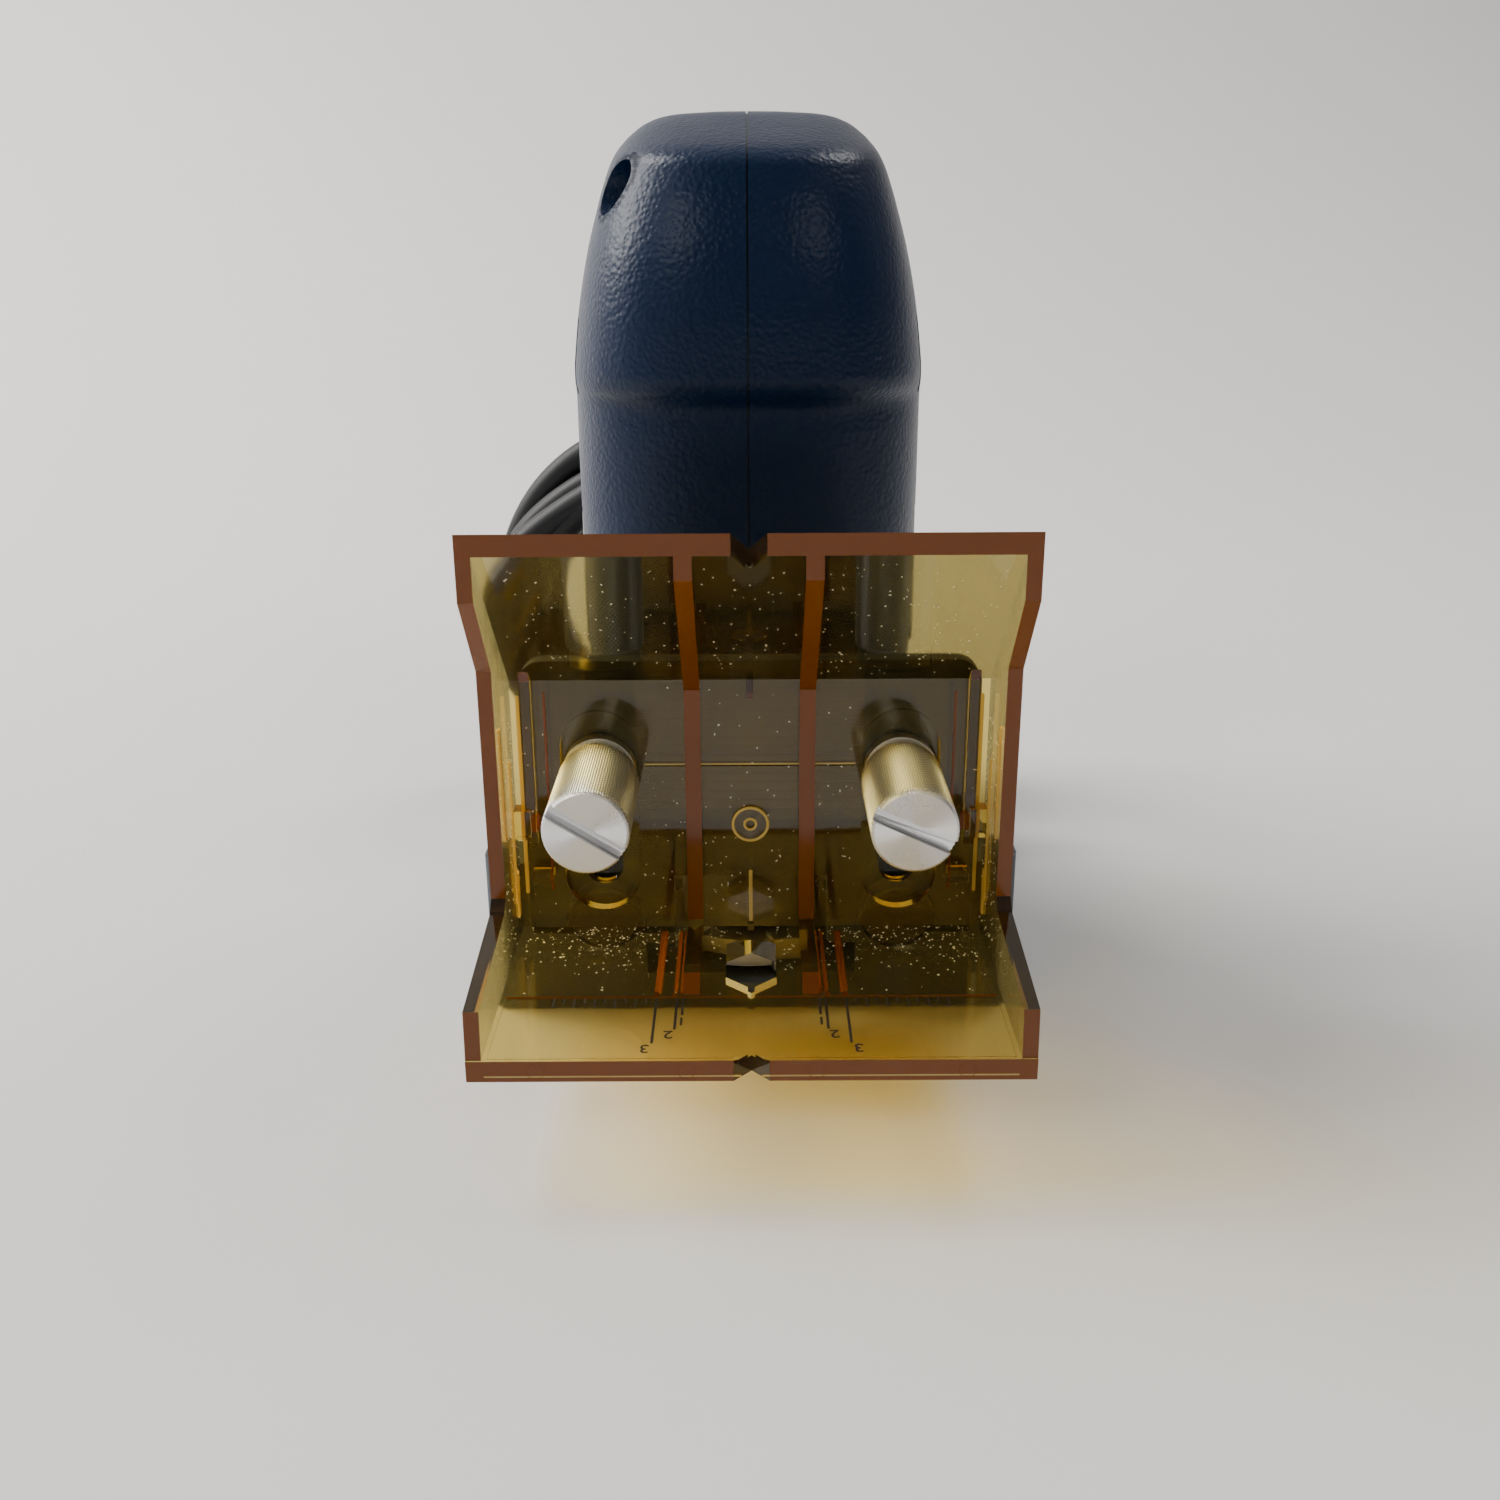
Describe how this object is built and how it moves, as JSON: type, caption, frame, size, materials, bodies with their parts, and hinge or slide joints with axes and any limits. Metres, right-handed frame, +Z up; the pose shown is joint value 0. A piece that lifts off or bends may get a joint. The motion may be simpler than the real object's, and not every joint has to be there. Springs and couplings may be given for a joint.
{
  "type": "biscuit joiner",
  "caption": "Small upright biscuit joiner: a motor unit plunges a slotting cutter through a base with an amber angled fence, scale and two clamp knobs.",
  "frame": {"origin": "on the sole's underside, under the cutter's axis with the tool at rest", "axes": "+X to the right seen from the front, the cutter comes out along -Y, +Z up"},
  "size_m": [0.106, 0.2493, 0.152],
  "materials": {
    "base_grey": "dark slate powder coat on die-cast aluminium",
    "pad_rubber": "ribbed anti-slip rubber",
    "amber": "transparent amber polycarbonate, moulded",
    "knob_aluminium": "turned aluminium, diamond knurl",
    "zinc_steel": "zinc-plated steel",
    "ground_steel": "ground bearing steel",
    "tool_steel": "hardened tool steel with carbide tips",
    "bronze": "sintered bronze",
    "cast_aluminium": "die-cast aluminium, as cast",
    "navy": "navy moulded plastic, spark-eroded grain",
    "black_plastic": "black moulded plastic",
    "label_silver": "blank silver foil label",
    "core_steel": "laminated electrical steel",
    "copper": "enamelled copper winding",
    "carbon": "carbon brush",
    "cord_rubber": "black rubber cord, satin",
    "pin_brass": "brass plug pin"
  },
  "bodies": {
    "base": {"base_casting": "base_grey", "grip_pad": "pad_rubber", "guide_post_left": "ground_steel", "guide_post_right": "ground_steel", "post_caps": "black_plastic", "clamp_stud_left": "zinc_steel", "clamp_stud_right": "zinc_steel", "clamp_washer_left": "zinc_steel", "clamp_washer_right": "zinc_steel", "turret_screw": "zinc_steel", "dust_outlet": "black_plastic"},
    "fence": {"fence": "amber"},
    "clamp_knob_left": {"clamp_knob_left": "knob_aluminium"},
    "clamp_knob_right": {"clamp_knob_right": "knob_aluminium"},
    "depth_turret": {"depth_turret": "black_plastic"},
    "motor_unit": {"gear_housing": "cast_aluminium", "guide_bushes_left": "bronze", "guide_bushes_right": "bronze", "return_spring_left": "zinc_steel", "return_spring_right": "zinc_steel", "stop_screw": "zinc_steel", "stop_nut": "zinc_steel", "spindle_lower_bearing": "ground_steel", "spindle_upper_bearing": "ground_steel", "motor_lower_bearing": "ground_steel", "motor_upper_bearing": "ground_steel", "stator": "core_steel", "field_coils": "copper", "carbon_brushes": "carbon", "brush_holders": "black_plastic", "bearing_bracket": "black_plastic", "housing_left": "navy", "housing_right": "navy", "label_left": "label_silver", "label_right": "label_silver", "housing_screws": "zinc_steel", "motor_screws": "zinc_steel", "switch_body": "black_plastic", "strain_relief": "cord_rubber", "cord_lead": "cord_rubber", "cord_coil": "cord_rubber", "cord_tail": "cord_rubber", "plug_body": "black_plastic", "plug_pins": "pin_brass", "coil_tie": "black_plastic"},
    "spindle": {"spindle": "ground_steel", "spindle_gear": "tool_steel", "cutter": "tool_steel", "cutter_flange": "zinc_steel"},
    "armature": {"armature_shaft": "ground_steel", "armature_core": "core_steel", "armature_winding": "copper", "commutator": "copper", "fan": "black_plastic", "motor_pinion": "tool_steel"},
    "switch_button": {"switch_button": "black_plastic"}
  },
  "joints": [
    {"name": "plunge", "type": "slide", "parent": "base", "child": "motor_unit", "axis": [0, -1, 0], "range_m": [0, 0.00745], "stiffness_N_per_m": 900, "springref_m": -0.012, "deforming": ["return_spring_left", "return_spring_right"]},
    {"name": "fence_height", "type": "slide", "parent": "base", "child": "fence", "axis": [0, 0, 1], "range_m": [-0.004, 0.016]},
    {"name": "clamp_left_turn", "type": "hinge", "parent": "base", "child": "clamp_knob_left", "pos_m": [-0.02484, -0.035, 0.047], "axis": [0, -1, 0], "range_deg": [-90, 270]},
    {"name": "clamp_right_turn", "type": "hinge", "parent": "base", "child": "clamp_knob_right", "pos_m": [0.02484, -0.035, 0.047], "axis": [0, -1, 0], "range_deg": [-90, 270]},
    {"name": "depth_turret_turn", "type": "hinge", "parent": "base", "child": "depth_turret", "pos_m": [0.0385, -0.008, 0.026], "axis": [0, -1, 0], "range_deg": [0, 360]},
    {"name": "armature_spin", "type": "hinge", "parent": "motor_unit", "child": "armature", "pos_m": [0, 0.0176, 0.06], "axis": [0, 0, 1], "continuous": true},
    {"name": "spindle_spin", "type": "hinge", "parent": "motor_unit", "child": "spindle", "pos_m": [0, 0, 0.015], "axis": [0, 0, 1], "continuous": true},
    {"name": "switch_slide", "type": "slide", "parent": "motor_unit", "child": "switch_button", "axis": [0, 0, 1], "range_m": [0, 0.005]}
  ],
  "couplings": [
    {"joint": "spindle_spin", "follows": "armature_spin", "ratio": -0.83333}
  ]
}
